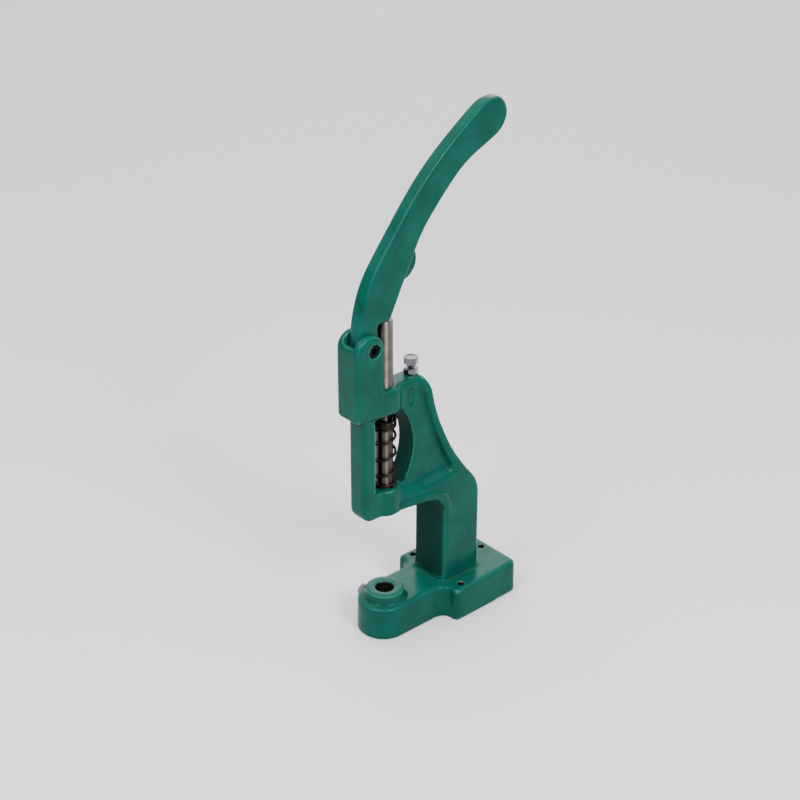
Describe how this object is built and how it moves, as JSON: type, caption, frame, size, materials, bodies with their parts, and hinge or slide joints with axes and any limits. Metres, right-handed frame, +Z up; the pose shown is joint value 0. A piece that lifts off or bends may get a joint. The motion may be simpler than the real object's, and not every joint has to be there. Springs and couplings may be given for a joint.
{
  "type": "eyelet machine",
  "caption": "Green cast hand press: a lever on a front pivot drives a spring-returned ram down onto a die anvil, on a base plate for bolting to a bench.",
  "frame": {"origin": "on the bench plane, under the axis of the ram and of the die socket", "axes": "+Z up along the ram; -Y towards the nose, the operator's side; +Y towards the column; the lever swings in the YZ plane"},
  "size_m": [0.0738, 0.1565, 0.4284],
  "materials": {
    "green_enamel": "hammered green enamel on cast iron",
    "ground_steel": "ground bar, lightly oiled",
    "blackened_spring_steel": "dark wire with an oil film",
    "black_oxide_steel": "black oxide",
    "zinc_steel": "dull zinc plating"
  },
  "bodies": {
    "frame": {"frame_casting": "green_enamel", "pivot_screw": "black_oxide_steel", "stop_lock_nut": "zinc_steel", "return_spring": "blackened_spring_steel"},
    "lever": {"lever": "green_enamel"},
    "ram": {"ram": "ground_steel", "ram_cross_pin": "blackened_spring_steel", "spring_washer": "ground_steel"},
    "stop": {"stop_bolt": "zinc_steel"},
    "clamp": {"die_clamp_screw": "zinc_steel"}
  },
  "joints": [
    {"name": "lever_pivot", "type": "hinge", "parent": "frame", "child": "lever", "pos_m": [0, -0.0198, 0.262], "axis": [-1, 0, 0], "range_deg": [0, 73]},
    {"name": "ram_slide", "type": "slide", "parent": "frame", "child": "ram", "axis": [0, 0, -1], "range_m": [0, 0.0332], "stiffness_N_per_m": 1100, "springref_m": -0.02, "deforming": ["return_spring"]},
    {"name": "stop_bolt_adjust", "type": "slide", "parent": "frame", "child": "stop", "axis": [0, 0, -1], "range_m": [0, 0.003]},
    {"name": "die_clamp", "type": "slide", "parent": "frame", "child": "clamp", "axis": [1, 0, 0], "range_m": [0, 0.002]}
  ],
  "couplings": [
    {"joint": "ram_slide", "follows": "lever_pivot", "m_per_rad": 0.026}
  ]
}
